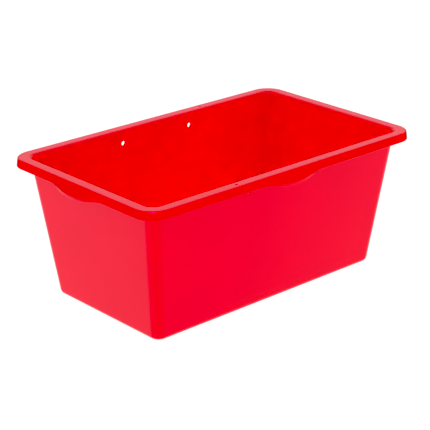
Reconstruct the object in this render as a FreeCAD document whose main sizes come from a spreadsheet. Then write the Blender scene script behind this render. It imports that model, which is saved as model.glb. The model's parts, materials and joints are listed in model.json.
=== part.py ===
import FreeCAD, Part
import math
import os
import Sketcher
from FreeCAD import Placement, Rotation, Vector

# Trough feeder: an open, drafted, thin-walled tub moulded in one piece. A flat flange runs round
# its mouth and turns down into a short skirt, and the skirt swells into a hand grip on each side.
#
# The frame: X runs along the trough, Y from the front long side to the rear one, and +Z is up.
# The origin is on the ground under the middle of the floor. All sizes are in millimetres.
#
# The moulding is first made whole, as one body. It is then parted into its named regions along
# flat seams, so that neighbouring regions meet face to face and no two overlap.

SIZES = {
    # the whole trough
    "rim_length": 605.0,
    "rim_width": 372.0,
    "height": 250.0,
    "base_length": 504.0,
    "base_width": 272.0,
    # thickness of each stretch of the shell
    "wall": 3.0,
    "floor": 3.5,
    "flange": 3.5,
    "skirt_wall": 2.5,
    # from the rim's outer edge in to the outer face of the wall, at the top
    "overhang": 19.6,
    # corners seen from above
    "rim_corner": 36.0,
    "wall_corner_top": 20.2,
    "wall_corner_base": 17.8,
    # rounded edges
    "base_round": 9.0,
    "floor_round": 6.0,
    "mouth_round": 6.6,
    "rim_round": 3.4,
    # the skirt: how far it hangs below the top, and how far it leans out over that depth
    "skirt_depth": 15.0,
    "skirt_flare": 2.0,
    # the hand grips: half their length, and how far they swell out of the skirt and below it
    "grip_half": 66.0,
    "grip_swell": 10.0,
    "grip_drop": 7.5,
    "lip_height": 6.5,
    "lip_tuck": 0.8,
    # the two fixing holes through each long wall, and the low boss outside each hole
    "fixing_hole": 9.0,
    "fixing_spacing": 154.0,
    "fixing_below_top": 24.2,
    "fixing_boss": 18.0,
    "boss_rise": 0.4,
    # the two small tie holes through the flange, at opposite ends of a diagonal
    "tie_hole": 5.0,
    "tie_along": 116.5,
    "tie_from_edge": 9.2,
    # how far a tool that parts the regions stands clear of the faces that it must not touch
    "seam_gap": 1.0,
}

# The four sides: the side's name, the axis it faces along, and which way it faces.
SIDES = [("front", "y", -1), ("rear", "y", 1), ("left", "x", -1), ("right", "x", 1)]
ENDS = [("front", -1), ("rear", 1)]
FLANKS = [("left", -1), ("right", 1)]

# Sizes along each axis, written as expressions over the sheet.
RIM_HALF = {"x": "Sizes.rim_length / 2", "y": "Sizes.rim_width / 2"}
BASE_HALF = {"x": "Sizes.base_length / 2", "y": "Sizes.base_width / 2"}
WALL_TOP_HALF = {axis: f"({RIM_HALF[axis]} - Sizes.overhang)" for axis in "xy"}
OTHER = {"x": "y", "y": "x"}
WALL_LEAN = f"(({WALL_TOP_HALF['y']} - {BASE_HALF['y']}) / Sizes.height)"
SEAM_Z = "(Sizes.height - Sizes.flange)"
FLARE_AT_SEAM = "(Sizes.skirt_flare * Sizes.flange / Sizes.skirt_depth)"
GRIP_STATIONS = 9
# a grip keeps most of its swell along its middle and loses it near its ends: higher is fuller
GRIP_FULLNESS = 2.5

doc = FreeCAD.newDocument("trough_feeder")


def fill_sheet():
    """The driving dimensions, one row each, with their names as aliases."""
    sheet = doc.addObject("Spreadsheet::Sheet", "Sizes")
    for row, (name, value) in enumerate(SIZES.items(), start=1):
        sheet.set(f"A{row}", name)
        sheet.set(f"B{row}", str(value))
        sheet.setAlias(f"B{row}", name)
    doc.recompute()
    return sheet


def origin_plane(body, role):
    """One of a body's own origin planes, found by its role."""
    for feature in body.Origin.OriginFeatures:
        if feature.Role == role:
            return feature
    raise RuntimeError(f"{body.Label} has no {role}")


def sketch_on(body, name, role, offset):
    """A sketch on one of a body's origin planes, moved along the plane's normal."""
    sketch = body.newObject("Sketcher::SketchObject", name)
    sketch.AttachmentSupport = (origin_plane(body, role), [""])
    sketch.MapMode = "FlatFace"
    sketch.setExpression("AttachmentOffset.Base.z", offset)
    return sketch


def bind(sketch, constraint, expression):
    """Adds a named measure to a sketch and drives it from the sheet."""
    index = sketch.addConstraint(constraint)
    sketch.renameConstraint(index, f"measure{index}")
    sketch.setExpression(f"Constraints[{index}]", expression)


def rounded_rectangle(body, name, z, length, width, corner):
    """A level rectangle with rounded corners, centred on the Z axis."""
    sketch = sketch_on(body, name, "XY_Plane", z)
    far, near, bend = 200.0, 100.0, 10.0
    starts = [(-far, -near), (far, -near), (far, near), (-far, near)]
    for number, (x, y) in enumerate(starts):
        end_x, end_y = starts[(number + 1) % 4]
        step = Vector(end_x - x, end_y - y, 0).normalize() * bend
        sketch.addGeometry(Part.LineSegment(Vector(x, y, 0) + step, Vector(end_x, end_y, 0) - step))
    for number, (x, y) in enumerate(starts):
        centre = Vector(x - math.copysign(bend, x), y - math.copysign(bend, y), 0)
        first = math.pi + number * math.pi / 2
        circle = Part.Circle(centre, Vector(0, 0, 1), bend)
        sketch.addGeometry(Part.ArcOfCircle(circle, first, first + math.pi / 2))
    for number in range(4):
        arc = 4 + number
        sketch.addConstraint(Sketcher.Constraint("Tangent", arc, 2, number, 1))
        sketch.addConstraint(Sketcher.Constraint("Tangent", (number - 1) % 4, 2, arc, 1))
        turn = "Horizontal" if number % 2 == 0 else "Vertical"
        sketch.addConstraint(Sketcher.Constraint(turn, number))
    for arc in (5, 6, 7):
        sketch.addConstraint(Sketcher.Constraint("Equal", 4, arc))
    sketch.addConstraint(Sketcher.Constraint("Symmetric", 4, 3, 6, 3, -1, 1))
    bind(sketch, Sketcher.Constraint("DistanceX", 3, 1, 1, 1, 2 * far), length)
    bind(sketch, Sketcher.Constraint("DistanceY", 0, 1, 2, 1, 2 * near), width)
    bind(sketch, Sketcher.Constraint("Radius", 4, bend), corner)
    return sketch


def loft(body, kind, name, sections):
    """A loft through sketches, the highest first. Kind is Additive or Subtractive."""
    feature = body.newObject(f"PartDesign::{kind}Loft", name)
    feature.Profile = (sections[0], [""])
    feature.Sections = [(section, [""]) for section in sections[1:]]
    feature.Ruled = len(sections) == 2
    doc.recompute()
    return feature


def edges_at(feature, z, reach_x=None):
    """Names of a shape's edges that lie level at z, within reach_x of the middle if it is given."""
    names = []
    for number, edge in enumerate(feature.Shape.Edges, start=1):
        box = edge.BoundBox
        level = abs(box.ZMin - z) < 0.01 and abs(box.ZMax - z) < 0.01
        inside = reach_x is None or max(abs(box.XMin), abs(box.XMax)) < reach_x
        if level and inside:
            names.append(f"Edge{number}")
    return names


def round_edges(body, name, base, edges, radius):
    """Rounds the named edges of a body's last feature."""
    fillet = body.newObject("PartDesign::Fillet", name)
    fillet.Base = (base, edges)
    fillet.setExpression("Radius", radius)
    doc.recompute()
    return fillet


def rim_section(body, name, z, depth, inset):
    """The rim's outline at a depth below the top, moved in by inset."""
    lean = f"(Sizes.skirt_flare * {depth} / Sizes.skirt_depth - {inset})"
    return rounded_rectangle(
        body, name, z,
        f"Sizes.rim_length + 2 * {lean}",
        f"Sizes.rim_width + 2 * {lean}",
        f"Sizes.rim_corner + {lean}")


def wall_section(body, name, z, inset):
    """The wall's outline at a height, between its base and its top outlines, moved in by inset."""
    share = f"({z}) / Sizes.height"
    half_x = f"({BASE_HALF['x']} + ({WALL_TOP_HALF['x']} - {BASE_HALF['x']}) * {share} - {inset})"
    half_y = f"({BASE_HALF['y']} + ({WALL_TOP_HALF['y']} - {BASE_HALF['y']}) * {share} - {inset})"
    widening = "(Sizes.wall_corner_top - Sizes.wall_corner_base)"
    corner = f"Sizes.wall_corner_base + {widening} * {share} - {inset}"
    return rounded_rectangle(body, name, z, f"2 * {half_x}", f"2 * {half_y}", corner)


def circles_sketch(body, name, role, offset, circles, diameter):
    """A sketch of equal circles. Each circle is a pair of expressions for its centre."""
    sketch = sketch_on(body, name, role, offset)
    for number, (across, up) in enumerate(circles):
        start = Vector(50.0 * (number - 0.5), 50.0, 0)
        sketch.addGeometry(Part.Circle(start, Vector(0, 0, 1), 2.0))
        bind(sketch, Sketcher.Constraint("DistanceX", -1, 1, number, 3, start.x), across)
        bind(sketch, Sketcher.Constraint("DistanceY", -1, 1, number, 3, start.y), up)
        bind(sketch, Sketcher.Constraint("Diameter", number, 4.0), diameter)
    doc.recompute()
    return sketch


def drill(body, name, sketch, depth):
    """A pocket of holes, turned round if it points away from the solid."""
    before = body.Shape.Volume
    pocket = body.newObject("PartDesign::Pocket", name)
    pocket.Profile = (sketch, [""])
    pocket.setExpression("Length", depth)
    doc.recompute()
    if before - body.Shape.Volume < 1.0:
        pocket.Reversed = True
        doc.recompute()
    if before - body.Shape.Volume < 1.0:
        raise RuntimeError(f"{name} cuts nothing")


def make_fixings(body):
    """A pair of fixing holes through each long wall, under the rim.

    Outside each hole the leaning wall carries a low boss with an upright face. The face is all but
    flush with the wall at the boss's top, by boss_rise, and stands out most at its foot.
    """
    hole_z = "Sizes.height - Sizes.fixing_below_top"
    places = [("-Sizes.fixing_spacing / 2", hole_z), ("Sizes.fixing_spacing / 2", hole_z)]
    wall_at_hole = f"({WALL_TOP_HALF['y']} - {WALL_LEAN} * Sizes.fixing_below_top)"
    inside_wall = f"({wall_at_hole} - Sizes.wall / 2)"
    for end, y_sign in ENDS:
        # The XZ plane faces -Y, so a sketch moves along it by -Y.
        sketch = circles_sketch(
            body, f"{end}_bosses_outline", "XZ_Plane", f"{-y_sign} * {inside_wall}", places,
            "Sizes.fixing_boss")
        bosses = body.newObject("PartDesign::Pad", f"{end}_bosses")
        bosses.Profile = (sketch, [""])
        bosses.Reversed = y_sign > 0
        rise = f"{WALL_LEAN} * Sizes.fixing_boss / 2 + Sizes.boss_rise"
        bosses.setExpression("Length", f"Sizes.wall / 2 + {rise}")
        doc.recompute()
    reach = WALL_TOP_HALF["y"]
    sketch = circles_sketch(
        body, "fixing_holes_outline", "XZ_Plane", reach, places, "Sizes.fixing_hole")
    drill(body, "fixing_holes", sketch, f"2 * {reach}")


def make_ties(body):
    """Two small holes through the flange, at opposite ends of a diagonal."""
    tie_y = "(Sizes.rim_width / 2 - Sizes.tie_from_edge)"
    sketch = circles_sketch(
        body, "tie_holes_outline", "XY_Plane", "Sizes.height",
        [("-Sizes.tie_along", f"-{tie_y}"), ("Sizes.tie_along", tie_y)], "Sizes.tie_hole")
    drill(body, "tie_holes", sketch, "Sizes.flange")


def make_moulding():
    """The whole trough but for its grips: rim, skirt, walls and floor in one shell."""
    body = doc.addObject("PartDesign::Body", "moulding")
    top = "Sizes.height"

    skirt_end = rim_section(body, "skirt_end", f"{top} - Sizes.skirt_depth", "Sizes.skirt_depth", "0")
    rim_top = rim_section(body, "rim_top", top, "0", "0")
    block = loft(body, "Additive", "rim_block", [rim_top, skirt_end])
    block = round_edges(body, "rim_edge", block, edges_at(block, SIZES["height"]), "Sizes.rim_round")

    low = rim_section(
        body, "under_rim_low", f"{top} - Sizes.skirt_depth", "Sizes.skirt_depth", "Sizes.skirt_wall")
    high = rim_section(body, "under_rim_high", SEAM_Z, "Sizes.flange", "Sizes.skirt_wall")
    loft(body, "Subtractive", "under_rim", [high, low])

    foot = wall_section(body, "wall_foot", "0", "0")
    head = wall_section(body, "wall_head", top, "0")
    walls = loft(body, "Additive", "wall_block", [head, foot])
    round_edges(body, "base_edge", walls, edges_at(walls, 0.0), "Sizes.base_round")

    bottom = wall_section(body, "cavity_bottom", "Sizes.floor", "Sizes.wall")
    mouth = wall_section(body, "cavity_mouth", top, "Sizes.wall")
    cavity = loft(body, "Subtractive", "cavity", [mouth, bottom])
    cavity = round_edges(
        body, "floor_edge", cavity, edges_at(cavity, SIZES["floor"]), "Sizes.floor_round")
    mouth_reach = SIZES["rim_length"] / 2 - SIZES["overhang"]
    cavity = round_edges(
        body, "mouth_edge", cavity, edges_at(cavity, SIZES["height"], mouth_reach), "Sizes.mouth_round")

    make_fixings(body)
    make_ties(body)
    return body


def box_tool(name, low, high):
    """A plain box between two corners, each a triple of expressions."""
    box = doc.addObject("Part::Box", name)
    for place, side, first, last in zip("xyz", ("Length", "Width", "Height"), low, high):
        box.setExpression(f"Placement.Base.{place}", first)
        box.setExpression(side, f"({last}) - ({first})")
    return box


def wedge_tool(name, axis):
    """The space between the corners of one pair of walls. Its ends lean as the corners do."""
    wedge = doc.addObject("Part::Wedge", name)
    foot = f"({BASE_HALF[axis]} - Sizes.wall_corner_base)"
    head = f"({WALL_TOP_HALF[axis]} - Sizes.wall_corner_top)"
    reach = RIM_HALF[OTHER[axis]]
    low, high = ("Xmin", "Xmax") if axis == "x" else ("Zmin", "Zmax")
    low2, high2 = ("X2min", "X2max") if axis == "x" else ("Z2min", "Z2max")
    cross = ("Zmin", "Zmax", "Z2min", "Z2max") if axis == "x" else ("Xmin", "Xmax", "X2min", "X2max")
    wedge.setExpression(low, f"-{foot}")
    wedge.setExpression(high, foot)
    wedge.setExpression(low2, f"-{head}")
    wedge.setExpression(high2, head)
    wedge.setExpression(cross[0], f"-{reach}")
    wedge.setExpression(cross[1], reach)
    wedge.setExpression(cross[2], f"-{reach}")
    wedge.setExpression(cross[3], reach)
    wedge.Ymin = 0
    wedge.setExpression("Ymax", "Sizes.height")
    # A wedge narrows along its own Y, so it is stood up to narrow along Z.
    wedge.Placement = Placement(Vector(), Rotation(Vector(1, 0, 0), 90))
    return wedge


def common(name, shapes):
    """What several shapes share."""
    result = doc.addObject("Part::MultiCommon", name)
    result.Shapes = shapes
    return result


def cut(name, base, tool):
    """One shape less another."""
    result = doc.addObject("Part::Cut", name)
    result.Base = base
    result.Tool = tool
    return result


def side_box(name, axis, sign, inner, outer, half, low_z, high_z):
    """A box on one side of the trough, from inner to outer along the side's axis."""
    near, far = (inner, outer) if sign > 0 else (f"-({outer})", f"-({inner})")
    spans = {axis: (near, far), OTHER[axis]: (f"-({half})", half)}
    low = (spans["x"][0], spans["y"][0], low_z)
    high = (spans["x"][1], spans["y"][1], high_z)
    return box_tool(name, low, high)


def make_floor(tub):
    """The flat of the floor, inside the rounded edge that the walls stand on."""
    body = doc.addObject("PartDesign::Body", "floor_space")
    inset = "Sizes.base_round"
    outline = rounded_rectangle(
        body, "floor_outline", "0",
        f"Sizes.base_length - 2 * {inset}",
        f"Sizes.base_width - 2 * {inset}",
        f"Sizes.wall_corner_base - {inset}")
    pad = body.newObject("PartDesign::Pad", "floor_space_pad")
    pad.Profile = (outline, [""])
    pad.setExpression("Length", "Sizes.floor + Sizes.seam_gap")
    doc.recompute()
    return common("floor_pan", [tub, body]), cut("upright_part", tub, body)


def make_walls(upright):
    """The four walls, straight between their corners, and the four rounded corners."""
    wedges = {axis: wedge_tool(f"between_corners_{axis}", axis) for axis in "xy"}
    corners = cut("corners_part", cut("corners_and_ends", upright, wedges["x"]), wedges["y"])
    nodes = []
    for side, axis, sign in SIDES:
        half_space = side_box(
            f"{side}_half", axis, sign, "0", RIM_HALF[axis], RIM_HALF[OTHER[axis]],
            "0", "Sizes.height")
        nodes.append(common(f"{side}_wall", [upright, wedges[OTHER[axis]], half_space]))
    for end, y_sign in ENDS:
        for flank, x_sign in FLANKS:
            quarter = quarter_box(f"{end}_{flank}_quarter", x_sign, y_sign, {"x": "0", "y": "0"}, "0")
            nodes.append(common(f"{end}_{flank}_corner", [corners, quarter]))
    return nodes


def quarter_box(name, x_sign, y_sign, start, low_z):
    """A box over one corner of the trough, out past the skirt, from start along X and Y."""
    spans = {}
    for axis, sign in (("x", x_sign), ("y", y_sign)):
        outer = f"{RIM_HALF[axis]} + Sizes.skirt_flare + Sizes.seam_gap"
        spans[axis] = (start[axis], outer) if sign > 0 else (f"-({outer})", f"-({start[axis]})")
    low = (spans["x"][0], spans["y"][0], low_z)
    high = (spans["x"][1], spans["y"][1], "Sizes.height")
    return box_tool(name, low, high)


def make_rim(rim):
    """The flange and the skirt: straight lengths on the four sides, and four turned corners."""
    straight = {axis: f"({RIM_HALF[axis]} - Sizes.rim_corner)" for axis in "xy"}
    skirt_end = "Sizes.height - Sizes.skirt_depth"
    nodes = []
    for side, axis, sign in SIDES:
        outer = f"{RIM_HALF[axis]} + Sizes.skirt_flare + Sizes.seam_gap"
        half = straight[OTHER[axis]]
        over = side_box(
            f"{side}_flange_space", axis, sign, straight[axis], outer, half, SEAM_Z, "Sizes.height")
        nodes.append(common(f"{side}_flange", [rim, over]))
        under = side_box(
            f"{side}_skirt_space", axis, sign, straight[axis], outer, half, skirt_end, SEAM_Z)
        grip = side_box(
            f"{side}_grip_space", axis, sign, straight[axis], outer, "Sizes.grip_half",
            skirt_end, SEAM_Z)
        nodes.append(cut(f"{side}_skirt", common(f"{side}_skirt_run", [rim, under]), grip))
    for end, y_sign in ENDS:
        for flank, x_sign in FLANKS:
            quarter = quarter_box(
                f"{end}_{flank}_rim_space", x_sign, y_sign, straight, skirt_end)
            nodes.append(common(f"{end}_{flank}_rim_corner", [rim, quarter]))
    return nodes


def grip_section(body, name, share, swell):
    """One upright slice through a grip, at a share of its half length. Swell runs from 0 to 1.

    The slice starts under the flange, as thick as the skirt, and slopes out to a ridge. Below the
    ridge an upright lip hangs, tucked in a little at its foot. Out is -Y here, and Y is 0 at the
    rim's outer edge.
    """
    sketch = sketch_on(body, name, "YZ_Plane", f"{share} * Sizes.grip_half")
    depth = f"(Sizes.skirt_depth + {swell} * Sizes.grip_drop)"
    foot = f"(Sizes.skirt_flare + {swell} * (Sizes.grip_swell - Sizes.lip_tuck))"
    ridge = (f"(Sizes.skirt_flare * (Sizes.skirt_depth - Sizes.lip_height) / Sizes.skirt_depth"
             f" + {swell} * (Sizes.grip_swell + Sizes.skirt_flare * Sizes.lip_height / Sizes.skirt_depth))")
    end_z = f"(Sizes.height - {depth})"
    corners = [
        (f"-{FLARE_AT_SEAM}", SEAM_Z),
        (f"-{ridge}", f"{end_z} + Sizes.lip_height"),
        (f"-{foot}", end_z),
        (f"Sizes.skirt_wall - {foot}", end_z),
        (f"Sizes.skirt_wall - {ridge}", f"{end_z} + Sizes.lip_height"),
        (f"Sizes.skirt_wall - {FLARE_AT_SEAM}", SEAM_Z),
    ]
    count = len(corners)
    rough = [(-1, 246), (-2, 241), (-2, 235), (1, 235), (1, 241), (2, 246)]
    for number in range(count):
        start = Vector(*rough[number], 0)
        end = Vector(*rough[(number + 1) % count], 0)
        sketch.addGeometry(Part.LineSegment(start, end))
    for number in range(count):
        after = (number + 1) % count
        sketch.addConstraint(Sketcher.Constraint("Coincident", number, 2, after, 1))
    for number, (out, up) in enumerate(corners):
        across, height = rough[number]
        bind(sketch, Sketcher.Constraint("DistanceX", -1, 1, number, 1, across), out)
        bind(sketch, Sketcher.Constraint("DistanceY", -1, 1, number, 1, height), up)
    return sketch


def make_grips():
    """A hand grip in the middle of each side, where the skirt swells out and hangs lower."""
    turns = {("y", -1): 0, ("y", 1): 180, ("x", -1): -90, ("x", 1): 90}
    nodes = []
    for side, axis, sign in SIDES:
        body = doc.addObject("PartDesign::Body", f"{side}_grip")
        sections = []
        for number in range(GRIP_STATIONS):
            share = 2 * number / (GRIP_STATIONS - 1) - 1
            swell = round((1 - abs(share) ** GRIP_FULLNESS) ** 2, 6)
            sections.append(grip_section(body, f"{side}_grip_slice_{number}", share, swell))
        doc.recompute()
        loft(body, "Additive", f"{side}_grip_loft", sections)
        body.Placement = Placement(Vector(), Rotation(Vector(0, 0, 1), turns[(axis, sign)]))
        body.setExpression(f"Placement.Base.{axis}", f"{sign} * {RIM_HALF[axis]}")
        nodes.append(body)
    return nodes


def check_document():
    """Stops if any object of the document failed to rebuild."""
    for item in doc.Objects:
        if "Invalid" in item.State or "Error" in item.State:
            raise RuntimeError(f"{item.Name} failed: {item.State}")


def export(nodes):
    """Checks each region's shape and writes it to a file that carries its name."""
    os.makedirs("parts", exist_ok=True)
    for node in nodes:
        shape = node.Shape
        if shape.isNull() or not shape.isValid() or not shape.Solids:
            raise RuntimeError(f"{node.Label} has no valid solid")
        shape.exportStep(f"parts/{node.Label}.step")
        print(f"{node.Label:26s} solids {len(shape.Solids)}  volume {shape.Volume / 1000:9.3f} cm3")


fill_sheet()
moulding = make_moulding()

# The tub is the floor and walls under the flange; the rest of the moulding is the rim.
wall_reach = {axis: f"({WALL_TOP_HALF[axis]} + Sizes.seam_gap)" for axis in "xy"}
tub_space = box_tool(
    "tub_space",
    (f"-{wall_reach['x']}", f"-{wall_reach['y']}", "0"),
    (wall_reach["x"], wall_reach["y"], SEAM_Z))
tub_part = common("tub_part", [moulding, tub_space])
rim_part = cut("rim_part", moulding, tub_space)

floor_pan, upright_part = make_floor(tub_part)
regions = [floor_pan] + make_walls(upright_part) + make_rim(rim_part) + make_grips()
for region in regions:
    region.Label = region.Name
doc.recompute()
check_document()
export(regions)
whole = moulding.Shape.Volume
grips = sum(region.Shape.Volume for region in regions if region.Name.endswith("_grip"))
print(f"regions together {(sum(r.Shape.Volume for r in regions) - grips) / 1000:.3f} cm3 without grips,"
      f" moulding {whole / 1000:.3f} cm3")
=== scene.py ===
# %% [markdown]
# # A moulded trough feeder
#
# This lesson builds the looks of a feed trough round a finished CAD model. The real object is one
# thin shell of coloured plastic, squirted into a steel mould: a floor, four leaning walls, a flat
# flange round the mouth, a short skirt hanging from it, and a swollen hand grip on each side.
#
# The CAD model parts the moulding into 25 regions that meet on flat seams. A picture of them would
# show the seams, so here one seamless skin replaces them all. Its main sizes come from that model.

# %% Load the frame
import bpy
import bmesh
import json
import math
import numpy as np
from mathutils import Matrix, Vector


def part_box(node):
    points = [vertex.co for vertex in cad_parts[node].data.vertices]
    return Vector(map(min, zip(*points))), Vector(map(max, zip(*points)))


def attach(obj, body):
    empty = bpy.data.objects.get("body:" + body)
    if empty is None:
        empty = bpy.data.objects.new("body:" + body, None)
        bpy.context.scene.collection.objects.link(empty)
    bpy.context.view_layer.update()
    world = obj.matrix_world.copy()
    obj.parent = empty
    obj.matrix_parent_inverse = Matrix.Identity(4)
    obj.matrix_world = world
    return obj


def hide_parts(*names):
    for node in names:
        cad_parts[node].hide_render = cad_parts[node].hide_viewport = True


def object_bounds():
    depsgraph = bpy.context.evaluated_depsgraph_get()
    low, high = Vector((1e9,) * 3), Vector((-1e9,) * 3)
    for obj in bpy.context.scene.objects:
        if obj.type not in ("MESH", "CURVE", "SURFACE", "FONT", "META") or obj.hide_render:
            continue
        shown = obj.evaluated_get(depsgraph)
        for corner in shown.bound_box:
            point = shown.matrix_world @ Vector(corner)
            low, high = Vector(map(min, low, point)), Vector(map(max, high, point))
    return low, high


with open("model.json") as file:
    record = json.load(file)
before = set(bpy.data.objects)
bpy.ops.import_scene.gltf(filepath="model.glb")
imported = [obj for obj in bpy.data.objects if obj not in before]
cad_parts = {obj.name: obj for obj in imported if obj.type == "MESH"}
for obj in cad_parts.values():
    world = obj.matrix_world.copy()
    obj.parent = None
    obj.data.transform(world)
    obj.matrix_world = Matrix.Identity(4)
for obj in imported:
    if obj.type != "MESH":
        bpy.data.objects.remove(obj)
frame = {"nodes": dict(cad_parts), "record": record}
scene = bpy.context.scene
cad_low, cad_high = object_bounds()
print("CAD box", [round(v, 4) for v in cad_low], [round(v, 4) for v in cad_high])

# %% [markdown]
# ## The camera
#
# A product like this is shot with a long lens from a few metres away, which keeps its sides nearly
# parallel. The camera is placed as a photographer would place it: walk round to one corner, raise
# the tripod, and tilt down. Azimuth is the walk round, elevation the tilt, and roll is the hair's
# breadth by which the tripod wasn't level. The last two values slide the camera sideways and up
# from the line through the middle of the base, which centres the object in the picture.

# %% Camera
AZIMUTH = math.radians(-41.76)
ELEVATION = math.radians(21.55)
ROLL = math.radians(-0.351)
LENS_MM = 123.9
DISTANCE = 2.6402
ASIDE = -0.00403
ABOVE = 0.10760


def camera_axes(azimuth, elevation, roll):
    """Right, up and back directions of a camera that looks at the object."""
    back = Vector((math.sin(azimuth) * math.cos(elevation),
                   -math.cos(azimuth) * math.cos(elevation),
                   math.sin(elevation)))
    right = Vector((0, 0, 1)).cross(back).normalized()
    up = back.cross(right)
    turn = Matrix.Rotation(roll, 3, back)
    return turn @ right, turn @ up, back


def add_camera():
    right, up, back = camera_axes(AZIMUTH, ELEVATION, ROLL)
    data = bpy.data.cameras.new("studio_camera")
    data.lens = LENS_MM
    data.sensor_width = 36.0
    data.clip_end = 50.0
    camera = bpy.data.objects.new("studio_camera", data)
    camera.rotation_euler = Matrix((right, up, back)).transposed().to_euler()
    camera.location = back * DISTANCE + right * ASIDE + up * ABOVE
    scene.collection.objects.link(camera)
    scene.camera = camera
    return camera


camera = add_camera()
print("camera at", [round(v, 3) for v in camera.location])

# %% [markdown]
# ## Sizes, read from the CAD model
#
# What the frame can tell isn't typed in again. The box of each CAD region gives the rim, the wall's
# lean, the floor and the grips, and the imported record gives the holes. Only roundings, thicknesses
# and the skirt's flare, which a box can't tell, are named here, with the CAD model's own values.

# %% Sizes
MM = 0.001
HEIGHT = cad_high.z
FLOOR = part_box("floor_pan")[1].z
SEAM_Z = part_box("left_skirt")[1].z
SKIRT_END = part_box("left_skirt")[0].z
FLANGE = HEIGHT - SEAM_Z
SKIRT_DEPTH = HEIGHT - SKIRT_END
FLARE = 2.0 * MM
WALL = 3.0 * MM
SKIRT_WALL = 2.5 * MM
BASE_ROUND = 9.0 * MM
FLOOR_ROUND = 6.0 * MM
MOUTH_ROUND = 6.6 * MM
RIM_ROUND = 3.4 * MM

rim_half = np.array([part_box("right_skirt")[1].x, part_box("rear_skirt")[1].y]) - FLARE
base_half = np.array(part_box("floor_pan")[1].xy) + BASE_ROUND
wall_seam_half = np.array([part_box("rear_right_corner")[1].x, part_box("rear_right_corner")[1].y])
wall_slope = (wall_seam_half - base_half) / SEAM_Z
wall_top_half = base_half + wall_slope * HEIGHT
rim_corner = rim_half[0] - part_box("rear_right_rim_corner")[0].x
straight_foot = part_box("rear_right_corner")[0].x
straight_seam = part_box("rear_wall")[1].x
corner_foot = base_half[0] - straight_foot
corner_slope = wall_slope[0] - (straight_seam - straight_foot) / SEAM_Z
grip_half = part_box("front_grip")[1].x
grip_drop = SKIRT_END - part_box("front_grip")[0].z
grip_reach = -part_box("front_grip")[0].y - rim_half[1]
print("rim half", rim_half, "base half", base_half, "wall top half", wall_top_half)
print("corners: rim", rim_corner, "wall foot", corner_foot, "wall slope", corner_slope)
print("grip: half", grip_half, "drop", grip_drop, "reach", grip_reach)

# %% [markdown]
# ## A net of rows and columns
#
# A moulding like this could be modelled from a cube with bevels, but its roundings change size
# from place to place and soon pinch. Instead the skin is a net. Each row is a closed loop that runs
# once round the trough: a rectangle with rounded corners. Each column crosses the rows, from the
# middle of the floor up the inside, over the rim and down the outside to the middle of the
# underside. Every face is then a clean four-sided one, and a shape such as a grip is only a push on
# the points that it covers.
#
# The holes decide where columns must stand, so they come first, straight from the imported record.
# Each gets a window: a square of so many columns and rows that its rings will fill. The record
# gives the tie holes' circle but not its angle, so how far along the rim they lie is set here.

# %% Holes and their windows
mounts = {mount["name"]: mount for mount in frame["record"]["mounts"]}
fixing = mounts["rear_fixing_holes"]
FIXING_X = fixing["dims"]["spacing_x_mm"] * MM / 2
FIXING_R = fixing["dims"]["hole_r_mm"] * MM
FIXING_Z = fixing["pos_m"][2]
BOSS_FACE_Y = fixing["pos_m"][1]
BOSS_R = 9.0 * MM
ties = mounts["rim_tie_holes"]
TIE_R = ties["dims"]["hole_r_mm"] * MM
TIE_X = 116.5 * MM
TIE_Y = math.sqrt((ties["dims"]["pcd_mm"] * MM / 2) ** 2 - TIE_X ** 2)

FIXING_WINDOW = (12.0 * MM, 8)
TIE_WINDOW = (5.0 * MM, 6)
print("fixing holes at x", FIXING_X, "z", FIXING_Z, "tie holes at", TIE_X, round(TIE_Y, 4))

# %% [markdown]
# Even columns would waste points on plain walls and starve the curves. So the spacing follows the
# shape: close across the grips, exact across each hole's window, and wide where nothing happens.

# %% Columns
GRIP_STEP = 3.0 * MM
PLAIN_STEP = 7.0 * MM
ARC_STEPS = 20


def window_marks(centre, window):
    """Evenly spaced places across a hole's window."""
    half, count = window
    return [centre - half + 2 * half * i / count for i in range(count + 1)]


def fill_gaps(marks, step):
    """Adds marks so that no two neighbours are further apart than a step."""
    filled = [marks[0]]
    for mark in marks[1:]:
        count = max(1, math.ceil((mark - filled[-1]) / step - 0.01))
        start = filled[-1]
        filled += [start + (mark - start) * (i + 1) / count for i in range(count)]
    return np.array(filled)


def side_marks(straight, windows):
    """Column places along one side, the same left and right of its middle."""
    grip = list(np.arange(0, grip_half, GRIP_STEP))
    first = min([*windows, grip_half])
    right = [mark for mark in grip if mark < first - GRIP_STEP / 2] + sorted(windows)
    right.append(straight)
    right = fill_gaps(right, PLAIN_STEP)
    return np.concatenate([-right[:0:-1], right])


long_marks = side_marks(
    rim_half[0] - rim_corner,
    window_marks(FIXING_X, FIXING_WINDOW) + window_marks(TIE_X, TIE_WINDOW))
short_marks = side_marks(rim_half[1] - rim_corner, [grip_half])
SIDE_SIZES = [len(long_marks), len(short_marks), len(long_marks), len(short_marks)]
COLUMN_COUNT = sum(SIDE_SIZES) + 4 * (ARC_STEPS - 1)
print("columns:", SIDE_SIZES, "along the sides,", COLUMN_COUNT, "in all")

# %% [markdown]
# One function makes a whole row. The four sides are numbered 0 to 3, front, right, rear and left, in
# the order that the row visits them. The middle of each side keeps its columns upright, so that holes and
# grips aren't sheared as the walls narrow, and only the outer stretch of each side gives way.

# %% Rows
PAST_HOLES = 60 * MM
PAST_GRIP = 4 * MM
STEADY = np.array([FIXING_X + PAST_HOLES, grip_half + PAST_GRIP])


def spread(marks, steady, straight):
    """Moves marks past the steady middle so that the last one ends at the straight's end."""
    beyond = np.maximum(np.abs(marks) - steady, 0) / (marks[-1] - steady)
    return np.sign(marks) * (np.minimum(np.abs(marks), steady) + beyond * (straight - steady))


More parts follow.
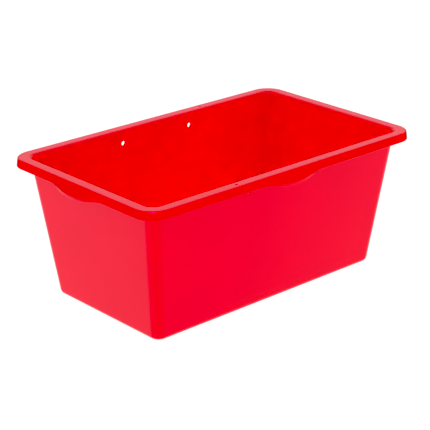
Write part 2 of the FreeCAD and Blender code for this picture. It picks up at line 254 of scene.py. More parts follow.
def row(half, corner, z):
    """One closed loop of points, counter-clockwise from the front side's left end."""
    half_x, half_y = half
    along_x = spread(long_marks, STEADY[0], half_x - corner)
    along_y = spread(short_marks, STEADY[1], half_y - corner)
    bend = np.linspace(0, math.pi / 2, ARC_STEPS + 1)[1:-1]
    points = []
    for side in range(4):
        along, out = (along_x, half_y) if side % 2 == 0 else (along_y, half_x)
        end = half_y if side % 2 else half_x
        straight = np.column_stack([along, np.full(len(along), -out)])
        arc = np.column_stack([end - corner + corner * np.sin(bend),
                               -out + corner - corner * np.cos(bend)])
        turn = side * math.pi / 2
        matrix = np.array([[math.cos(turn), -math.sin(turn)], [math.sin(turn), math.cos(turn)]])
        points.append(np.vstack([straight, arc]) @ matrix.T)
    flat = np.vstack(points)
    return np.column_stack([flat, np.full(len(flat), z)])


first_row = row(rim_half, rim_corner, HEIGHT)
print("a row has", len(first_row), "points; its first", first_row[0].round(4))

# %% [markdown]
# A grip or a hollow only moves some columns, and only straight out from their side. So each column
# remembers which side it is on, how far it stands from that side's middle, and which way is out.
# Columns on the rounded corners belong to no side.

# %% What each column knows
NO_SIDE = -1
FAR_AWAY = 9.0


def column_facts():
    """For each column: its side, its place along that side, and the way that it faces in plan."""
    side_of, along, facing = [], [], []
    for side in range(4):
        marks = long_marks if side % 2 == 0 else short_marks
        turn = side * math.pi / 2
        outward = np.array([math.sin(turn), -math.cos(turn)])
        side_of += [side] * len(marks) + [NO_SIDE] * (ARC_STEPS - 1)
        along += list(marks) + [FAR_AWAY] * (ARC_STEPS - 1)
        facing += [outward] * (len(marks) + ARC_STEPS - 1)
    return np.array(side_of), np.array(along), np.array(facing)


column_side, column_along, column_facing = column_facts()
print("columns on each side:", [int((column_side == side).sum()) for side in range(4)])

# %% [markdown]
# ## The section of the shell
#
# Cut the trough open and its edge shows one continuous line: floor, wall, rim, skirt and back down
# outside. The functions below give that line as rows. A wall row is measured in from the wall's
# leaning outer face, and a rim row in from the skirt's. Each rounding is an arc worked out from the
# two faces that it joins, so the faces run into it with no kink.

# %% Section helpers
LEAN = math.atan(float(np.mean(wall_slope)))
SKIRT_LEAN = math.atan(FLARE / SKIRT_DEPTH)
WALL_BOW = 0.5 * MM


def wall_row(inset, z):
    """A row on the tub, inset from the wall's outer face at that height."""
    half = base_half + wall_slope * z - inset
    corner = corner_foot + corner_slope * z - inset
    points = row(half, corner, z)
    return bow_in(points, z)


def bow_in(points, z):
    """Thin walls cool with a slight hollow: the middle of each side draws in by a hair."""
    rise = math.sin(math.pi * min(max(z / SEAM_Z, 0.0), 1.0)) ** 2
    reach = np.where(column_side % 2 == 0, base_half[0], base_half[1])
    middle = np.clip(1 - (column_along / reach) ** 2, 0, 1) ** 2
    points[:, :2] -= column_facing * (WALL_BOW * rise * middle)[:, None]
    return points


def rim_row(inset, depth):
    """A row on the rim, inset from the skirt's outer face, at a depth below the top."""
    lean = math.tan(SKIRT_LEAN) * depth - inset
    return row(rim_half + lean, rim_corner + lean, HEIGHT - depth)


QUARTER = math.pi / 2
slope = math.tan(LEAN)
print("the walls lean", round(math.degrees(LEAN), 2), "degrees, the skirt",
      round(math.degrees(SKIRT_LEAN), 2))

# %% [markdown]
# ## The grips
#
# A hand grip is a stretch of skirt that swells out and hangs lower, like a shallow awning. Its upper
# face slopes out to a ridge, where the thumb rests, and below the ridge an upright lip hangs for the
# fingers to hook. Along the side the swell is full for most of the grip's length and dies away near
# its ends with no corner. Ridge and lip edge are both rounded, and each catches a line of light.

# %% Grip shape
GRIP_FULLNESS = 2.5
LIP_HEIGHT = 6.5 * MM
LIP_TUCK = 0.8 * MM
RIDGE_ROUND = 1.2 * MM
EDGE_ROUND = 1.1 * MM
on_grip = (column_side >= 0) & (np.abs(column_along) < grip_half)
share_along = np.clip(np.abs(column_along) / grip_half, 0, 1)
swell = np.where(on_grip, (1 - share_along ** GRIP_FULLNESS) ** 2, 0.0)
INSIDE_BOX = 0.02 * MM
ridge_reach = grip_reach - INSIDE_BOX


def grip_push(swell_here, depth):
    """How far a grip stands out of the skirt's line, at a depth down a column of that swell.

    It slopes out from the seam to the ridge, and the lip below comes back in a little.
    """
    low = SKIRT_DEPTH + swell_here * grip_drop
    ridge = low - LIP_HEIGHT
    full = swell_here * (ridge_reach - FLARE * ridge / SKIRT_DEPTH)
    slope_part = full * (depth - FLANGE) / (ridge - FLANGE)
    foot = swell_here * (ridge_reach - LIP_TUCK - FLARE * low / SKIRT_DEPTH)
    lip_part = full + (foot - full) * (depth - ridge) / LIP_HEIGHT
    soft = RIDGE_ROUND * np.minimum(4 * swell_here, 1)
    return (slope_part + lip_part - np.sqrt((slope_part - lip_part) ** 2 + soft ** 2)) / 2


print("columns on the grips:", int(on_grip.sum()), "furthest reach", round(ridge_reach, 4))

# %% [markdown]
# The skirt's rows follow its lower edge, which dips at each grip. If they stayed level instead, the
# dip would cut across them and leave ragged faces.

# %% Rows on the skirt
def skirt_row(inset, share, lift=0.0):
    """A row on the skirt, at a share of the way from the seam down to its lower edge.

    Each column is as long as the skirt is there, so on a grip the row swings down and out. Lift
    raises the whole row, which the rounded edge needs.
    """
    length = SKIRT_DEPTH + swell * grip_drop - FLANGE
    depth = FLANGE + length * share - lift
    outward = FLARE * depth / SKIRT_DEPTH + grip_push(swell, depth) - inset
    plain = outward[0]
    points = row(rim_half + plain, rim_corner + plain, 0.0)
    points[:, :2] += column_facing * (outward - plain)[:, None]
    points[:, 2] = HEIGHT - depth
    return points


print("the skirt is", round(SKIRT_DEPTH * 1000, 1), "mm deep; a grip hangs lower by",
      round(grip_drop * 1000, 1))

# %% [markdown]
# Now the rows themselves, in the order that a fingertip would visit them from the middle of the
# floor. Rows are kept as a list with names, so that a hole can later be found by the rows that its
# window spans.
#
# The floor meets the wall in a rounding that a cloth can wipe clean, and moulders like it because
# the melt flows round it. It is an arc that touches both faces.

# %% Rows of the floor and the inner wall
FLAT_EDGE = 3 * MM
rows = []
row_names = []


def add_row(name, points):
    rows.append(points)
    row_names.append(name)


def add_floor_inside():
    add_row("floor", wall_row(WALL + FLOOR_ROUND + FLAT_EDGE, FLOOR))
    centre_z = FLOOR + FLOOR_ROUND
    for angle in np.linspace(0, QUARTER - LEAN, 8):
        z = centre_z - FLOOR_ROUND * math.cos(angle)
        centre = WALL - slope * centre_z + FLOOR_ROUND / math.cos(LEAN)
        add_row("floor_round", wall_row(centre - FLOOR_ROUND * math.sin(angle) + slope * z, z))


def add_wall(name, inset, heights):
    for z in heights:
        add_row(name, wall_row(inset, z))


def wall_heights(low, high):
    """Heights up a wall: plain steps, and the fixing holes' windows."""
    window = window_marks(FIXING_Z, FIXING_WINDOW)
    return fill_gaps([low, *window, high], 2.2 * PLAIN_STEP)


add_floor_inside()
wall_top_inside = HEIGHT - MOUTH_ROUND + MOUTH_ROUND * math.sin(LEAN)
wall_foot_inside = FLOOR + FLOOR_ROUND * (1 - math.sin(LEAN))
add_wall("inner_wall", WALL, wall_heights(wall_foot_inside, wall_top_inside)[1:-1])
print("rows so far:", len(rows))

# %% [markdown]
# The rim is a flat flange with a soft edge on each side. An animal's neck rubs on the inner one, so
# it is the rounder. The flat between the roundings needs rows only where a tie hole goes through.

# %% Rows of the mouth and the rim
def add_mouth():
    """The rounded mouth edge, the flat of the flange and the rim's outer edge."""
    centre_z = HEIGHT - MOUTH_ROUND
    for angle in np.linspace(LEAN, QUARTER, 9):
        z = centre_z + MOUTH_ROUND * math.sin(angle)
        centre = WALL - slope * centre_z - MOUTH_ROUND / math.cos(LEAN)
        add_row("mouth_round", wall_row(centre + MOUTH_ROUND * math.cos(angle) + slope * z, z))
    inner = rows[-1]
    outer = rim_edge_row(0.0)
    inner_y, outer_y = -inner[len(long_marks) // 2][1], -outer[len(long_marks) // 2][1]
    for y in [*window_marks(TIE_Y, TIE_WINDOW)]:
        share = (y - inner_y) / (outer_y - inner_y)
        add_row("flange_top", inner + (outer - inner) * share)
    for angle in np.linspace(0, QUARTER - SKIRT_LEAN, 7):
        add_row("rim_round", rim_edge_row(angle))


def rim_edge_row(angle):
    """A row on the rim's rounded outer edge: angle 0 is on top."""
    centre = RIM_ROUND / math.cos(SKIRT_LEAN) - math.tan(SKIRT_LEAN) * RIM_ROUND
    depth = RIM_ROUND - RIM_ROUND * math.cos(angle)
    inset = centre - RIM_ROUND * math.sin(angle) + math.tan(SKIRT_LEAN) * depth
    return rim_row(inset, depth)


add_mouth()
print("rows so far:", len(rows))

# %% [markdown]
# From the rim the skin goes down the skirt, round its lower edge and up behind it. The shares are
# places from the seam down to the edge. They crowd together low down, where a grip has its ridge.

# %% Rows of the skirt
SKIRT_SHARES = np.array([0, 0.1, 0.2, 0.3, 0.4, 0.5, 0.56, 0.61, 0.65, 0.69, 0.73, 0.78, 0.84, 0.9])


def add_skirt():
    """Down the outside of the skirt, round its thin lower edge and up behind it."""
    for share in SKIRT_SHARES[1:]:
        add_row("skirt", skirt_row(0.0, share))
    for angle in np.linspace(0, QUARTER, 6):
        add_row("skirt_edge", skirt_row(
            EDGE_ROUND - EDGE_ROUND * math.cos(angle), 1.0, EDGE_ROUND - EDGE_ROUND * math.sin(angle)))
    for angle in np.linspace(0, QUARTER, 6):
        add_row("skirt_edge", skirt_row(
            SKIRT_WALL - EDGE_ROUND + EDGE_ROUND * math.sin(angle), 1.0,
            EDGE_ROUND - EDGE_ROUND * math.cos(angle)))
    for share in SKIRT_SHARES[-2:0:-1]:
        add_row("skirt_back", skirt_row(SKIRT_WALL, share))


add_skirt()
print("rows so far:", len(rows))

# %% [markdown]
# Last come the flange's underside, the outside of the walls and the rounded foot. They are mostly
# out of sight, but a part is looked at from all sides, and light that bounces about needs them.

# %% Rows of the underside and the outer wall
UNDER_ROUND = 1.5 * MM


def add_underside():
    """The flange's underside, from the back of the skirt in to the wall."""
    for angle in np.linspace(0, QUARTER, 4):
        add_row("under_round", skirt_row(
            SKIRT_WALL + UNDER_ROUND - UNDER_ROUND * math.cos(angle), 0.0,
            -UNDER_ROUND + UNDER_ROUND * math.sin(angle)))
    outer = rows[-1]
    inner = wall_row(-UNDER_ROUND, SEAM_Z)
    inner_y, outer_y = -inner[len(long_marks) // 2][1], -outer[len(long_marks) // 2][1]
    for y in reversed(window_marks(TIE_Y, TIE_WINDOW)):
        share = (outer_y - y) / (outer_y - inner_y)
        add_row("flange_under", outer + (inner - outer) * share)
    for angle in np.linspace(0, QUARTER, 4)[:-1]:
        add_row("under_round", wall_row(
            -UNDER_ROUND + UNDER_ROUND * math.sin(angle),
            SEAM_Z - UNDER_ROUND + UNDER_ROUND * math.cos(angle)))


def add_floor_outside():
    centre = -slope * BASE_ROUND + BASE_ROUND / math.cos(LEAN)
    for angle in np.linspace(QUARTER - LEAN, 0, 9):
        z = BASE_ROUND - BASE_ROUND * math.cos(angle)
        add_row("base_round", wall_row(centre - BASE_ROUND * math.sin(angle) + slope * z, z))
    add_row("base", wall_row(BASE_ROUND + FLAT_EDGE, 0.0))


add_underside()
wall_foot_outside = BASE_ROUND * (1 - math.sin(LEAN))
outer_heights = wall_heights(wall_foot_outside, SEAM_Z - UNDER_ROUND)
add_wall("outer_wall", 0.0, outer_heights[-1:0:-1])
add_floor_outside()
print("rows:", len(rows), {name: row_names.count(name) for name in dict.fromkeys(row_names)})

# %% [markdown]
# ## Holes
#
# A hole could be cut with a boolean, but that leaves long thin faces that show as smudges in a
# glossy surface. So each hole has a window in the net: a square patch of faces is left out, and
# rings of faces lead from the square's edge to the hole's round edge, down its bore and out again
# on the other side. A ring can also step outward, which makes the low boss round each fixing hole.

# %% Find a window in the net
WINDOW_CELLS = set()
NEARLY = 0.3 * MM


def find_columns(side, centre, window):
    """The run of columns that spans a window on one side."""
    half, count = window
    on_side = np.where(column_side == side)[0]
    first = on_side[np.argmin(np.abs(column_along[on_side] - (centre - half)))]
    return int(first), int(first) + count


def find_rows(name, axis, centre, window, column):
    """The run of rows with a given name that spans a window."""
    half, count = window
    named = [i for i, row_name in enumerate(row_names) if row_name == name]
    values = [abs(rows[i][column][axis]) for i in named]
    inside = [i for i, value in zip(named, values) if abs(value - centre) < half + NEARLY]
    assert len(inside) == count + 1, (name, centre, len(inside), count)
    return inside[0], inside[-1]


def open_window(first_row, last_row, first_column, last_column):
    """Leaves a window's faces out, and gives the points round its edge in order."""
    for r in range(first_row, last_row):
        for c in range(first_column, last_column):
            WINDOW_CELLS.add((r, c))
    edge = [(first_row, c) for c in range(first_column, last_column)]
    edge += [(r, last_column) for r in range(first_row, last_row)]
    edge += [(last_row, c) for c in range(last_column, first_column, -1)]
    edge += [(r, first_column) for r in range(last_row, first_row, -1)]
    return edge


print("columns across the first fixing hole:", find_columns(0, -FIXING_X, FIXING_WINDOW))

# %% [markdown]
# A hole goes through the skin twice, so it has a window in each face: inner and outer wall for a
# fixing hole, top and underside of the flange for a tie hole. Each long side has two fixing holes.
# The tie holes stand at opposite ends of a diagonal.

# %% Windows for the holes
LONG_SIDES = ((0, -1), (2, 1))
hole_windows = []
for side, y_sign in LONG_SIDES:
    for x_sign in (-1, 1):
        # Columns run the other way along the rear side, so its places change sign.
        along = x_sign * FIXING_X * (1 if side == 0 else -1)
        first_c, last_c = find_columns(side, along, FIXING_WINDOW)
        pair = []
        for name in ("inner_wall", "outer_wall"):
            first_r, last_r = find_rows(name, 2, FIXING_Z, FIXING_WINDOW, first_c)
            pair.append(open_window(first_r, last_r, first_c, last_c))
        hole_windows.append(("fixing", Vector((x_sign * FIXING_X, 0, FIXING_Z)), y_sign, pair))
for side, y_sign in LONG_SIDES:
    first_c, last_c = find_columns(side, -TIE_X, TIE_WINDOW)
    pair = []
    for name in ("flange_top", "flange_under"):
        first_r, last_r = find_rows(name, 1, TIE_Y, TIE_WINDOW, first_c)
        pair.append(open_window(first_r, last_r, first_c, last_c))
    hole_windows.append(("tie", Vector((y_sign * TIE_X, y_sign * TIE_Y, 0)), y_sign, pair))
print("holes:", len(hole_windows), "window cells left out:", len(WINDOW_CELLS))

# %% [markdown]
# ## Stitch the net
#
# All the rows become one mesh. The floor's middle is closed by rings that shrink from the rounded
# rectangle to a small circle, inside and underneath. Underneath, that circle is the gate: the
# shallow dish, with a tiny nub in it, where the plastic was injected and snapped off.

# %% Floor and gate
GATE_R = 11.0 * MM
GATE_DEPTH = 0.9 * MM
GATE_NUB = 1.6 * MM


def circle_row(radius, z):
    """A level circle with one point to each column, in step with the columns round the trough."""
    base = rows[0]
    angle = np.arctan2(base[:, 1] / base_half[1], base[:, 0] / base_half[0])
    return np.column_stack([radius * np.cos(angle), radius * np.sin(angle), np.full(len(base), z)])


def closing_rows(edge, rings):
    """Rows that lead from an edge row to a circle, and on through a list of smaller circles."""
    first = circle_row(*rings[0])
    between = [edge + (first - edge) * share for share in (0.25, 0.5, 0.75)]
    return between + [circle_row(*ring) for ring in rings]


print("the floor closes on a circle of", COLUMN_COUNT, "points; gate", GATE_R, "deep", GATE_DEPTH)

# %% [markdown]
# Stitching is plain work: each point joins its neighbour in the row and the two in the next row. The
# cells that belong to a hole's window stay open until the hole is made.

# %% Stitch the rows
def stitch(bm, vertex_rows, cells_out=frozenset()):
    """Four-sided faces between neighbouring rows, but for the cells of the holes' windows."""
    for r in range(len(vertex_rows) - 1):
        for c in range(COLUMN_COUNT):
            if (r, c) in cells_out:
                continue
            d = (c + 1) % COLUMN_COUNT
            near, far = vertex_rows[r], vertex_rows[r + 1]
            bm.faces.new((near[c], near[d], far[d], far[c]))


def build_skin():
    bm = bmesh.new()
    net = [[bm.verts.new(point) for point in points] for points in rows]
    stitch(bm, net, WINDOW_CELLS)
    inside = closing_rows(rows[0], [(14 * MM, FLOOR), (4 * MM, FLOOR)])
    under = closing_rows(rows[-1], [
        (GATE_R, 0.0), (GATE_R - 0.6 * MM, 0.25 * GATE_DEPTH), (GATE_R - 1.6 * MM, GATE_DEPTH),
        (GATE_NUB + 0.4 * MM, GATE_DEPTH), (GATE_NUB, 0.85 * GATE_DEPTH),
        (GATE_NUB * 0.8, 0.35 * GATE_DEPTH), (GATE_NUB * 0.4, 0.3 * GATE_DEPTH)])
    inside_net = [net[0]] + [[bm.verts.new(point) for point in points] for points in inside]
    under_net = [net[-1]] + [[bm.verts.new(point) for point in points] for points in under]
    stitch(bm, under_net)
    stitch(bm, inside_net[::-1])
    bm.faces.new(inside_net[-1])
    bm.faces.new(under_net[-1][::-1])
    return bm, net


skin, net = build_skin()
print("skin:", len(skin.verts), "points,", len(skin.faces), "faces before the holes")

# %% [markdown]
# Each hole's rings are worked out in the hole's own plane. A ring is a radius and a depth along the
# hole's axis. The fixing holes are level, and their outer rings climb onto the boss, whose face is
# upright while the wall behind it leans. The tie holes are upright and only break their edges.

# %% Rings round a hole
def even_bearing(angle):
    """Respaces the bearings of points spread evenly along a square's edge."""
    quarter = round(angle / QUARTER)
    return quarter * QUARTER + math.pi / 4 * math.tan(angle - quarter * QUARTER)


def ring_points(centre, edge, across, up, radius, reach):
    """A ring of points round a hole, one for each point of the window's edge.

    reach(place) says how far out along the hole's axis a point of the plane lies.
    """
    out = across.cross(up)
    points = []
    for vert in edge:
        offset = vert.co - centre
        direction = even_bearing(math.atan2(offset.dot(up), offset.dot(across)))
        place = centre + (across * math.cos(direction) + up * math.sin(direction)) * radius
        place -= out * out.dot(place)
        points.append(place + out * reach(place))
    return points


def add_rings(bm, edge, rings, flip):
    """Faces from a window's edge through a list of rings. Returns the last ring's points."""
    last = edge
    for points in rings:
        verts = [bm.verts.new(point) for point in points]
        for i in range(len(edge)):
            j = (i + 1) % len(edge)
            corners = (last[i], last[j], verts[j], verts[i])
            bm.faces.new(corners[::-1] if flip else corners)
        last = verts
    return last


print("points round a fixing hole:", 4 * FIXING_WINDOW[1], "and round a tie hole:", 4 * TIE_WINDOW[1])

# %% [markdown]
# The last rings of the two faces meet down the bore. They were counted off in opposite directions,
# so each point looks for the one straight opposite.

# %% Close a bore
def join_rings(bm, one, other, across, up):
    """Faces down a bore, between two rings whose points stand opposite each other."""
    centre = sum((vert.co for vert in one), Vector()) / len(one)

    def spot(vert):
        offset = vert.co - centre
        return Vector((offset.dot(across), offset.dot(up)))

    matched = [min(other, key=lambda far: (spot(far) - spot(near)).length) for near in one]
    for i in range(len(one)):
        j = (i + 1) % len(one)
        bm.faces.new((one[i], one[j], matched[j], matched[i]))


bore = BOSS_FACE_Y - (base_half[1] + wall_slope[1] * FIXING_Z - WALL)
print("a fixing hole's bore is", round(bore * 1000, 1), "mm long")

# %% [markdown]
# A fixing hole takes a bolt or a hook, and the boss gives its washer a flat, upright seat. It is
# hardly proud of the wall at its top, and by a few millimetres at its foot, where the wall leans
# away from it. The rings outside must follow the leaning wall, so its face is worked out here.
#
# The boss's edge is two short lists in millimetres. At its foot, how far out from the edge and how
# proud of the wall; at its brow, how far in from the edge and how far below the flat.

# %% Fixing holes
SOFT_EDGE = 0.5 * MM
HALF_SOFT = 0.15 * MM
BOSS_FOOT = ((0.9, 0.0), (0.3, 0.04), (0.0, 0.25))
BOSS_BROW = ((0.1, 0.12), (0.5, 0.02), (1.0, 0.0))


def wall_out(z, inset):
    """How far out the long wall's face is at a height."""
    return base_half[1] + wall_slope[1] * z - inset


def bow_at(place):
    """The wall's slight hollow at a place on a long side."""
    rise = math.sin(math.pi * min(place.z / SEAM_Z, 1.0)) ** 2
    return WALL_BOW * rise * max(1 - (place.x / base_half[0]) ** 2, 0) ** 2


def pierce_fixing(bm, centre, y_sign, inner_edge, outer_edge):
    """A level hole through a long wall, with a soft edge inside and a low boss outside."""
    across, up = Vector((-y_sign, 0, 0)), Vector((0, 0, 1))
    boss = BOSS_FACE_Y

    def face(inset):
        return lambda place: wall_out(place.z, inset) - bow_at(place)

    def flat(y):
        return lambda place: y

    def ring(edge, radius, reach):
        return ring_points(centre, edge, across, up, radius, reach)

    inner = [
        ring(inner_edge, FIXING_R + 1.6 * MM, face(WALL)),
        ring(inner_edge, FIXING_R + SOFT_EDGE, face(WALL)),
        ring(inner_edge, FIXING_R + HALF_SOFT, face(WALL - HALF_SOFT)),
        ring(inner_edge, FIXING_R, face(WALL - SOFT_EDGE)),
    ]
    outer = [ring(outer_edge, BOSS_R + out * MM, face(-proud * MM)) for out, proud in BOSS_FOOT]
    outer += [ring(outer_edge, BOSS_R - back * MM, flat(boss - sunk * MM))
              for back, sunk in BOSS_BROW]
    outer += [
        ring(outer_edge, FIXING_R + SOFT_EDGE, flat(boss)),
        ring(outer_edge, FIXING_R + HALF_SOFT, flat(boss - HALF_SOFT)),
        ring(outer_edge, FIXING_R, flat(boss - SOFT_EDGE)),
    ]
    join_rings(bm, add_rings(bm, inner_edge, inner, False), add_rings(bm, outer_edge, outer, False),
               across, up)


print("boss", BOSS_R, "round a hole of", FIXING_R, "its face at y", BOSS_FACE_Y)

# %% [markdown]
# A tie hole is a plain drilled or moulded hole for a wire or a cable tie. Its edges are only
# softened, because nothing seats on it. Then every window gets its hole, and the skin is checked:
# each edge has to be shared by just two faces, or light would leak through.

# %% Tie holes, and pierce them all
def pierce_tie(bm, centre, top_edge, under_edge):
    """An upright hole through the flange, with soft edges."""
    across, up = Vector((1, 0, 0)), Vector((0, 1, 0))

    def level(z):
        return lambda place: z

    def rings(edge, face, inward):
        steps = [(SOFT_EDGE, 0.0), (0.12 * MM, 0.15 * MM), (0.0, SOFT_EDGE)]
        return [
            ring_points(centre, edge, across, up, TIE_R + grow, level(face + inward * sink))
            for grow, sink in steps]

    join_rings(bm, add_rings(bm, top_edge, rings(top_edge, HEIGHT, -1), False),
               add_rings(bm, under_edge, rings(under_edge, SEAM_Z, 1), False), across, up)


for kind, centre, y_sign, (first_edge, second_edge) in hole_windows:
    first = [net[r][c] for r, c in first_edge]
    second = [net[r][c] for r, c in second_edge]
    if kind == "fixing":
        pierce_fixing(skin, centre, y_sign, first, second)
    else:
        pierce_tie(skin, centre, first, second)
loose = [vert for vert in skin.verts if not vert.link_faces]
bmesh.ops.delete(skin, geom=loose, context="VERTS")
bmesh.ops.recalc_face_normals(skin, faces=skin.faces)
open_edges = [edge for edge in skin.edges if len(edge.link_faces) != 2]
print("loose points removed:", len(loose), "edges not shared by two faces:", len(open_edges))

# %% [markdown]
# The net becomes an object. Smooth shading alone would tint the flats beside each small rounding,
# so a Weighted Normal modifier lets the large faces decide. The skin's volume, the volume of the
# plastic, is printed too.

# %% Make the moulding
FACE_AREA_WEIGHT = 60


def make_object(name, bm):
    for face in bm.faces:
        face.smooth = True
    mesh = bpy.data.meshes.new(name)
    bm.to_mesh(mesh)
    bm.free()
    made = bpy.data.objects.new(name, mesh)
    scene.collection.objects.link(made)
    return made


volume = skin.calc_volume(signed=True)
moulding = make_object("trough_moulding", skin)
weighted = moulding.modifiers.new("even_normals", "WEIGHTED_NORMAL")
weighted.keep_sharp = False
weighted.weight = FACE_AREA_WEIGHT
print("trough_moulding:", len(moulding.data.vertices), "points; plastic", round(volume * 1e6), "cm3")

# %% [markdown]
# ## The plastic
#
# Coloured polyethylene is a deep, even red with a soft gloss. It could be a single colour, but a
# real moulding is never quite even: pigment drifts a little as the melt flows, the steel of the
# mould leaves a faint ripple, and handling leaves hairline scuffs that only dull the shine. Each of
# these is a noise of its own size, mixed in by a few percent. Four helpers keep the node tree short.

# %% Node helpers
def node(tree, kind, **settings):
    made = tree.nodes.new(kind)
    for name, value in settings.items():
        setattr(made, name, value)
    return made


def noise(tree, coordinates, scale, detail=3.0):
    made = node(tree, "ShaderNodeTexNoise")
    made.inputs["Scale"].default_value = scale
    made.inputs["Detail"].default_value = detail
    tree.links.new(coordinates, made.inputs["Vector"])
    return made.outputs["Fac"]


def span(tree, value, low, high):
    """Maps a noise's middle range onto low to high."""
    made = node(tree, "ShaderNodeMapRange")
    made.inputs["From Min"].default_value = 0.3
    made.inputs["From Max"].default_value = 0.7
    made.inputs["To Min"].default_value = low
    made.inputs["To Max"].default_value = high
    tree.links.new(value, made.inputs["Value"])
    return made.outputs["Result"]


def dents(tree, height, distance, strength, before=None):
    """A bump from a height, on top of an earlier bump."""
    made = node(tree, "ShaderNodeBump")
    made.inputs["Distance"].default_value = distance
    made.inputs["Strength"].default_value = strength
    tree.links.new(height, made.inputs["Height"])
    if before:
        tree.links.new(before, made.inputs["Normal"])
    return made.outputs["Normal"]


print("helpers:", [helper.__name__ for helper in (node, noise, span, dents)])

# %% [markdown]
# Three bumps lie on each other: the long ripple of the mould, small dips where the melt shrank, and
# a grain too fine to see, which takes the mirror edge off the shine. The shine itself is a little
# uneven. Index of refraction and tint are the same all over, so they are set on the shader.

# %% Plastic material
DEEP_RED = (0.88, 0.0, 0.0003, 1)
BRIGHT_RED = (0.94, 0.0, 0.0006, 1)
SHINIEST, DULLEST = 0.11, 0.18


def plastic_material():
    material = bpy.data.materials.new("red_moulded_plastic")
    material.use_nodes = True
    tree = material.node_tree
    shader = tree.nodes["Principled BSDF"]
    place = node(tree, "ShaderNodeTexCoord").outputs["Object"]

    colour = node(tree, "ShaderNodeMix", data_type="RGBA")
    colour.inputs["A"].default_value = DEEP_RED
    colour.inputs["B"].default_value = BRIGHT_RED
    tree.links.new(span(tree, noise(tree, place, 7.0), 0.0, 1.0), colour.inputs["Factor"])
    tree.links.new(colour.outputs["Result"], shader.inputs["Base Color"])

    gloss = span(tree, noise(tree, place, 60.0, 5.0), SHINIEST, DULLEST)
    tree.links.new(gloss, shader.inputs["Roughness"])
    shader.inputs["IOR"].default_value = 1.47
    shader.inputs["Specular Tint"].default_value = (0.6, 0.0, 0.6, 1)

    ripple = dents(tree, noise(tree, place, 9.0, 1.0), 0.0003, 0.4)
    dips = dents(tree, noise(tree, place, 45.0, 2.0), 0.00012, 0.7, ripple)
    grain = dents(tree, noise(tree, place, 700.0, 2.0), 0.00003, 0.6, dips)
    tree.links.new(grain, shader.inputs["Normal"])
    return material


plastic = plastic_material()
moulding.data.materials.append(plastic)
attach(moulding, "root")
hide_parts(*frame["nodes"])
print("material", plastic.name, "on", moulding.name)

# %% [markdown]
# ## The studio
#
# The trough stands on a glowing white table in an even white room, which leaves hardly a shadow.
# The table could be lit by lamps, but then it would need to be overexposed to come out pure white.
# Glowing on its own, it is white at once and lights the walls from below.

# %% White table
def plain_material(name, colour, glow=0.0):
    material = bpy.data.materials.new(name)
    material.use_nodes = True
    shader = material.node_tree.nodes["Principled BSDF"]
    shader.inputs["Base Color"].default_value = (colour, colour, colour, 1)
    shader.inputs["Roughness"].default_value = 0.9
    shader.inputs["Specular IOR Level"].default_value = 0.0
    shader.inputs["Emission Color"].default_value = (1.0, 1.0, 1.0, 1)
    shader.inputs["Emission Strength"].default_value = glow
    return material


def add_table(glow, colour):
    bm = bmesh.new()
    bmesh.ops.create_circle(bm, cap_ends=True, segments=96, radius=12.0)
    table = make_object("studio_floor", bm)
    table.location.z = -0.0004
    table.data.materials.append(plain_material("white_table", colour, glow))
    return table


table = add_table(0.96, 0.1)
print("table", [round(size, 1) for size in table.dimensions])

# %% [markdown]
# White all round would make glossy plastic look milky, so a photographer stands dark card round the
# set, out of the picture: the skirt, the grips and the edges of the rim mirror it and stay deep
# red. A low ring stands close, and a taller one further off. The tall one dips behind the trough,
# so that the flat of the rim mirrors the white room over it. Only mirrors see the cards: they
# throw no shade.

# %% Dark card
CARD_POSTS = 120
CARD_GREY = 0.02
CARD_REACH = math.radians(130)
CARD_SLOPE = math.radians(12)


def card_height(azimuth, back_height, front_height):
    """Low where the white backdrop has to show over it, behind the trough, and tall elsewhere."""
    turned = abs((azimuth - AZIMUTH + math.pi) % (2 * math.pi) - math.pi)
    tall = min(max((CARD_REACH - turned) / CARD_SLOPE, 0.0), 1.0)
    return back_height + (front_height - back_height) * tall


def add_card_ring(name, radius, back_height, front_height):
    bm = bmesh.new()
    low, high = [], []
    for azimuth in np.linspace(0, 2 * math.pi, CARD_POSTS + 1)[:-1]:
        x, y = radius * math.sin(azimuth), -radius * math.cos(azimuth)
        low.append(bm.verts.new((x, y, 0)))
        high.append(bm.verts.new((x, y, card_height(azimuth, back_height, front_height))))
    for i in range(CARD_POSTS):
        j = (i + 1) % CARD_POSTS
        bm.faces.new((low[i], low[j], high[j], high[i]))
    card = make_object(name, bm)
    card.data.materials.append(plain_material(name, CARD_GREY))
    card.visible_camera = False
    card.visible_diffuse = False
    card.visible_shadow = False
    return card


low_card = add_card_ring("low_dark_card", 0.85, 0.30, 0.30)
far_card = add_card_ring("far_dark_card", 1.8, 0.62, 2.0)
print("cards:", [(card.name, round(card.dimensions.z, 2)) for card in (low_card, far_card)])

# %% [markdown]
# The room does most of the lighting. One bright soft lamp over the camera shows only as a highlight
# on the rounded edges, which tells the eye that the plastic is glossy.

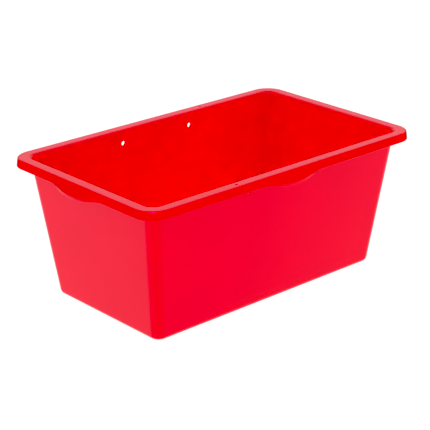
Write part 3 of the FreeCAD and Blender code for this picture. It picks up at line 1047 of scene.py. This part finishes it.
# %% Key lamp
def add_lamp(name, azimuth, elevation, distance, size, power):
    azimuth, elevation = math.radians(azimuth), math.radians(elevation)
    level = distance * math.cos(elevation)
    place = (level * math.sin(azimuth), -level * math.cos(azimuth), distance * math.sin(elevation))
    data = bpy.data.lights.new(name, "AREA")
    data.shape = "DISK"
    data.size = size
    data.energy = power
    lamp = bpy.data.objects.new(name, data)
    lamp.location = place
    lamp.rotation_euler = (-Vector(place)).to_track_quat("-Z", "Y").to_euler()
    scene.collection.objects.link(lamp)
    return lamp


def shine_only(lamp):
    """A lamp that shows only as a highlight in the gloss, as a small bright bulb does."""
    lamp.visible_diffuse = False
    return lamp


key = shine_only(add_lamp("key_softbox", -42, 50, 2.4, 0.7, 40.0))
print("key lamp at", [round(v, 2) for v in key.location])

# %% [markdown]
# The inside is deep, so a lamp with a narrow beam, which photographers call a snoot, lights its
# floor, and the light that bounces off the floor fills the walls. The room itself is one even white.

# %% Inside lamp and room
NARROW_BEAM = math.radians(6)


def add_snoot(name, height, length, width, power):
    """A lamp with a narrow beam, which reaches only the floor inside the trough."""
    data = bpy.data.lights.new(name, "AREA")
    data.shape = "RECTANGLE"
    data.size = length
    data.size_y = width
    data.spread = NARROW_BEAM
    data.energy = power
    lamp = bpy.data.objects.new(name, data)
    lamp.location = (0, 0, height)
    lamp.visible_glossy = False
    scene.collection.objects.link(lamp)
    return lamp


def light_room(strength):
    world = bpy.data.worlds.new("white_room")
    world.use_nodes = True
    background = world.node_tree.nodes["Background"]
    background.inputs["Color"].default_value = (1.0, 1.0, 1.0, 1)
    background.inputs["Strength"].default_value = strength
    scene.world = world


light_room(0.95)
add_snoot("inside_snoot", 1.6, 0.40, 0.18, 1.0)

# %% [markdown]
# ## Exposure and colour
#
# A red pigment this strong is redder than a screen can show, and a camera clips what lies beyond:
# the last trace of green and blue is lost. The Standard view keeps the colours as they are mixed,
# and a black level on the green and blue curves takes out that trace.

# %% View settings
view = scene.view_settings
view.view_transform = "Standard"
view.use_curve_mapping = True
view.curve_mapping.black_level = (0.0, 0.022, 0.014)
view.curve_mapping.update()
print("view", view.view_transform, "black level", [round(v, 3) for v in view.curve_mapping.black_level])
